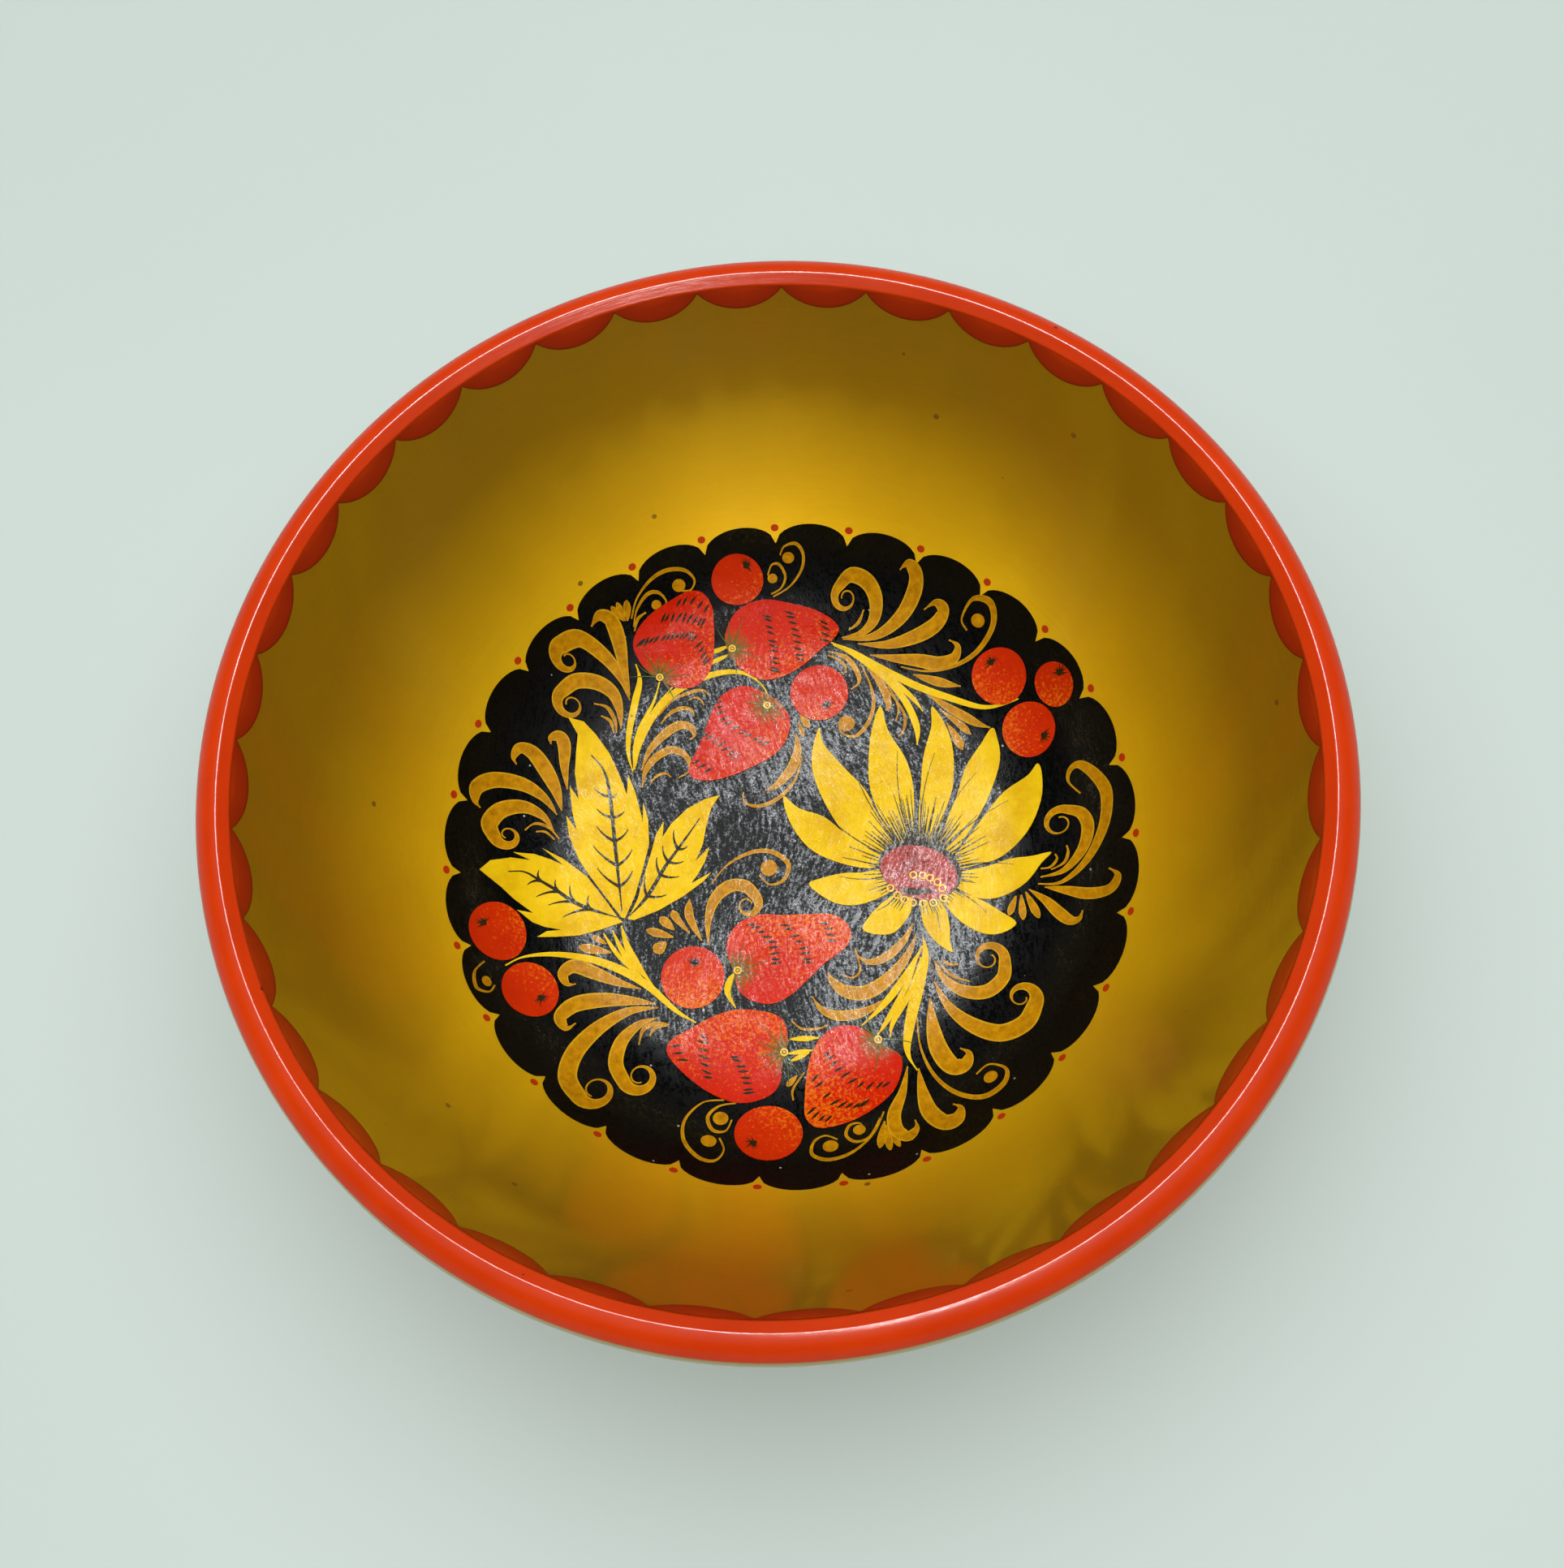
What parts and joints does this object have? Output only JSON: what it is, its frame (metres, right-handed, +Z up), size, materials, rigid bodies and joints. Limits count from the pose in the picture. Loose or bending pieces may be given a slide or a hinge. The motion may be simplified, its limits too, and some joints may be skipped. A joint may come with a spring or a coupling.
{
  "type": "khokhloma painted bowl",
  "caption": "Round turned wooden bowl on a low foot, gold inside, with a red scalloped lip and a black floor medallion painted with berries, a leaf and a flower.",
  "frame": {"origin": "on the table plane under the foot, on the bowl's turning axis", "axes": "+Z up along the turning axis; +Y away from the viewer of the painting, towards the two strawberries at its top; +X to the right of the painting"},
  "size_m": [0.2558, 0.2558, 0.1003],
  "materials": {
    "linden_wood": "turned and sanded, matt",
    "gold_lacquer": "clear varnish over tinned gold, glossy, finely streaked",
    "red_lacquer": "glossy red-orange lacquer",
    "brick_lacquer": "glossy brick-red lacquer",
    "black_lacquer": "glossy black lacquer with a faint grain",
    "yellow_gold_paint": "bright yellow gold, varnished",
    "ochre_gold_paint": "ochre gold, varnished",
    "pink_red_paint": "pink-red brush paint, varnished",
    "strawberry_red_paint": "orange-red brush paint, varnished",
    "berry_red_paint": "red brush paint with a stippled gold side, varnished",
    "yellow_dot_paint": "yellow brush dots, varnished",
    "green_line_paint": "olive green hair lines, varnished",
    "black_line_paint": "black brush lines, varnished"
  },
  "bodies": {
    "root": {"turned_wood_body": "linden_wood", "inside_gold_coat": "gold_lacquer", "outside_gold_coat": "gold_lacquer", "red_lip_band": "red_lacquer", "red_scallop_band": "brick_lacquer", "foot_band": "brick_lacquer", "medallion_ground": "black_lacquer", "medallion_dots": "red_lacquer", "leaf_lobes": "yellow_gold_paint", "leaf_veins": "black_line_paint", "yellow_stems": "yellow_gold_paint", "flower_petals": "yellow_gold_paint", "flower_lines": "black_line_paint", "flower_centre": "pink_red_paint", "flower_rings": "yellow_dot_paint", "strawberries": "strawberry_red_paint", "strawberry_seeds": "black_line_paint", "strawberry_sepals": "green_line_paint", "strawberry_buttons": "yellow_dot_paint", "berries": "berry_red_paint", "berry_eyes": "black_line_paint", "upper_left_scrolls": "ochre_gold_paint", "upper_right_scrolls": "ochre_gold_paint", "right_scrolls": "ochre_gold_paint", "lower_right_scrolls": "ochre_gold_paint", "lower_left_scrolls": "ochre_gold_paint", "middle_scrolls": "ochre_gold_paint", "rim_curls": "ochre_gold_paint", "scroll_dots": "ochre_gold_paint"}
  },
  "joints": []
}
